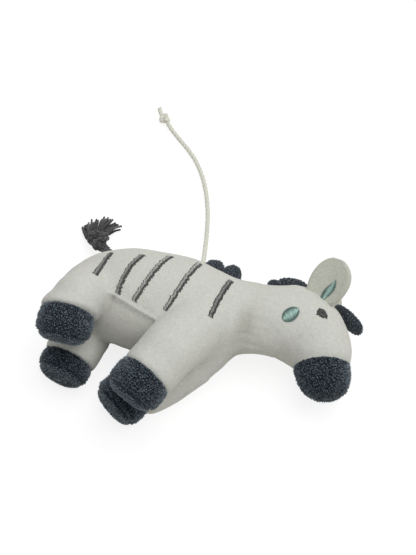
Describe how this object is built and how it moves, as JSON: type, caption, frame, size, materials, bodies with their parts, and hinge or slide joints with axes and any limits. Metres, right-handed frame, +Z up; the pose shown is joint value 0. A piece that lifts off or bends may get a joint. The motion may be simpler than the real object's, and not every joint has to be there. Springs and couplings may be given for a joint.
{
  "type": "plush zebra with hanging cord",
  "caption": "Small stuffed zebra lying on its side, with velour cover, dark hooves and muzzle, stitched stripes, yarn tail and a knotted cord to hang it by.",
  "frame": {"origin": "middle of the flat patch of the left flank that the body lies on, on the table", "axes": "+X from tail to head, +Y from belly to back, +Z up from the table"},
  "size_m": [0.1402, 0.1668, 0.0505],
  "materials": {
    "white_velour": "short off-white velour",
    "dark_velour": "charcoal blue plush with a short pile",
    "filling": "loose polyester fibre filling",
    "tail_yarn": "dark grey twisted yarn",
    "cord_cotton": "cream twisted cotton cord",
    "stripe_thread": "grey satin stitching",
    "dark_thread": "dark grey satin stitching",
    "mint_thread": "mint green satin stitching"
  },
  "bodies": {
    "torso": {"torso_cover_right": "white_velour", "torso_cover_left": "white_velour", "chest_panel": "white_velour", "belly_panel": "white_velour", "seat_panel": "white_velour", "torso_filling": "filling", "stripe_right_1": "stripe_thread", "stripe_right_2": "stripe_thread", "stripe_right_3": "stripe_thread", "stripe_right_4": "stripe_thread", "stripe_right_5": "stripe_thread", "stripe_left_1": "stripe_thread", "stripe_left_2": "stripe_thread", "stripe_left_3": "stripe_thread", "stripe_left_4": "stripe_thread", "stripe_left_5": "stripe_thread", "mane_tuft_1": "dark_velour", "mane_tuft_2": "dark_velour", "cord_anchor": "cord_cotton"},
    "right_rear_leg": {"right_rear_leg_cover": "white_velour", "right_rear_hoof_cover": "dark_velour", "right_rear_hoof_sole": "dark_velour", "right_rear_leg_filling": "filling"},
    "left_rear_leg": {"left_rear_leg_cover": "white_velour", "left_rear_hoof_cover": "dark_velour", "left_rear_hoof_sole": "dark_velour", "left_rear_leg_filling": "filling"},
    "right_front_leg": {"right_front_leg_cover": "white_velour", "right_front_hoof_cover": "dark_velour", "right_front_hoof_sole": "dark_velour", "right_front_leg_filling": "filling"},
    "left_front_leg": {"left_front_leg_cover": "white_velour", "left_front_hoof_cover": "dark_velour", "left_front_hoof_sole": "dark_velour", "left_front_leg_filling": "filling"},
    "head": {"head_cover_right": "white_velour", "head_cover_left": "white_velour", "muzzle_cover": "dark_velour", "head_filling": "filling", "mane_tuft_3": "dark_velour", "mane_tuft_4": "dark_velour", "mane_tuft_5": "dark_velour", "eye_right": "dark_thread", "eye_left": "dark_thread", "cheek_right": "mint_thread", "cheek_left": "mint_thread"},
    "right_ear": {"ear_back_right": "white_velour", "ear_front_right": "white_velour", "ear_leaf_right": "mint_thread"},
    "left_ear": {"ear_back_left": "white_velour", "ear_front_left": "white_velour", "ear_leaf_left": "mint_thread"},
    "lock": {"forelock": "dark_velour"},
    "tail": {"tail_stem": "tail_yarn", "tail_knot": "tail_yarn", "tail_tassel": "tail_yarn"},
    "cord": {"hanging_cord": "cord_cotton", "cord_knot": "cord_cotton", "cord_tail": "cord_cotton"}
  },
  "joints": [
    {"name": "neck_nod", "type": "hinge", "parent": "torso", "child": "head", "pos_m": [0.044, 0.0022, 0.0219], "axis": [0.147, 0.069, 0.9867], "range_deg": [-12, 12], "stiffness_Nm_per_rad": 0.03},
    {"name": "right_rear_leg_swing", "type": "hinge", "parent": "torso", "child": "right_rear_leg", "pos_m": [-0.03, -0.00138, 0.03789], "axis": [0, 0, 1], "range_deg": [-12, 12], "stiffness_Nm_per_rad": 0.01},
    {"name": "left_rear_leg_swing", "type": "hinge", "parent": "torso", "child": "left_rear_leg", "pos_m": [-0.03, -0.0112, 0.01143], "axis": [0, 0, 1], "range_deg": [-12, 12], "stiffness_Nm_per_rad": 0.01},
    {"name": "right_front_leg_swing", "type": "hinge", "parent": "torso", "child": "right_front_leg", "pos_m": [0.0185, -0.01344, 0.03713], "axis": [0, 0, 1], "range_deg": [-12, 12], "stiffness_Nm_per_rad": 0.01},
    {"name": "left_front_leg_swing", "type": "hinge", "parent": "torso", "child": "left_front_leg", "pos_m": [0.0185, -0.01886, 0.01282], "axis": [0, 0, 1], "range_deg": [-12, 12], "stiffness_Nm_per_rad": 0.01},
    {"name": "right_ear_fold", "type": "hinge", "parent": "head", "child": "right_ear", "pos_m": [0.07311, 0.01056, 0.02624], "axis": [0.9352, -0.2851, 0.21], "range_deg": [-20, 20], "stiffness_Nm_per_rad": 0.002},
    {"name": "left_ear_fold", "type": "hinge", "parent": "head", "child": "left_ear", "pos_m": [0.07041, 0.0093, 0.00818], "axis": [0.9802, 0.129, 0.15], "range_deg": [0, 20], "stiffness_Nm_per_rad": 0.002},
    {"name": "forelock_lift", "type": "hinge", "parent": "head", "child": "lock", "pos_m": [0.07803, 0.0152, 0.01851], "axis": [0.147, 0.069, 0.9867], "range_deg": [0, 25], "stiffness_Nm_per_rad": 0.002},
    {"name": "tail_swing", "type": "hinge", "parent": "torso", "child": "tail", "pos_m": [-0.027, 0.02103, 0.01798], "axis": [0, 0, 1], "range_deg": [-25, 25]},
    {"name": "cord_swing", "type": "hinge", "parent": "torso", "child": "cord", "pos_m": [0.016, 0.02104, 0.01749], "axis": [0, 0, 1], "range_deg": [0, 35]}
  ]
}
